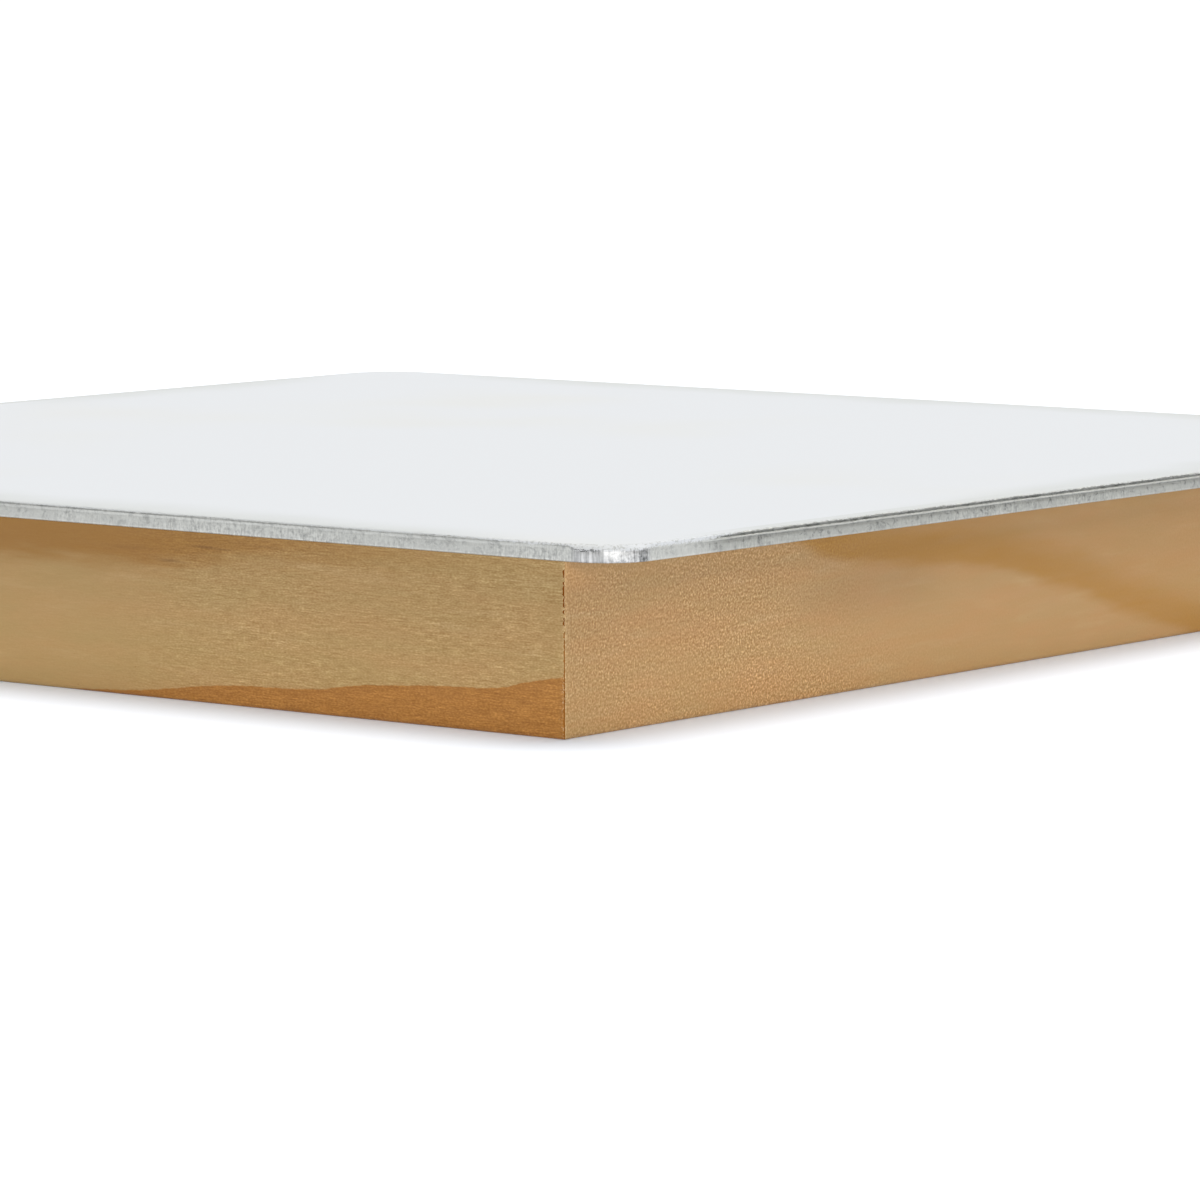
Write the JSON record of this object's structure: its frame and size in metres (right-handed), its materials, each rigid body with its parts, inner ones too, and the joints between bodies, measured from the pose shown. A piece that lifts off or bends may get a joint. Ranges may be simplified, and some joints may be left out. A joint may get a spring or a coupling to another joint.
{
  "type": "aluminium painting panel",
  "caption": "Square white-primed aluminium sheet with rounded corners, bonded on a mitred wooden cradle, as a rigid support to paint on.",
  "frame": {"origin": "centre of the cradle's back face, the plane the panel rests on", "axes": "+X along the two rails that end flush with the sheet, +Y along the two rails that it overhangs, +Z out of the painting face"},
  "size_m": [0.2032, 0.2032, 0.022],
  "materials": {
    "sheet": "white matt ground on the painting face, bare sawn and filed metal on the edges",
    "cradle_wood": "planed and sanded pale hardwood with a clear satin sealer"
  },
  "bodies": {
    "root": {"aluminium_sheet": "sheet", "rail_front": "cradle_wood", "rail_right": "cradle_wood", "rail_back": "cradle_wood", "rail_left": "cradle_wood"}
  },
  "joints": []
}
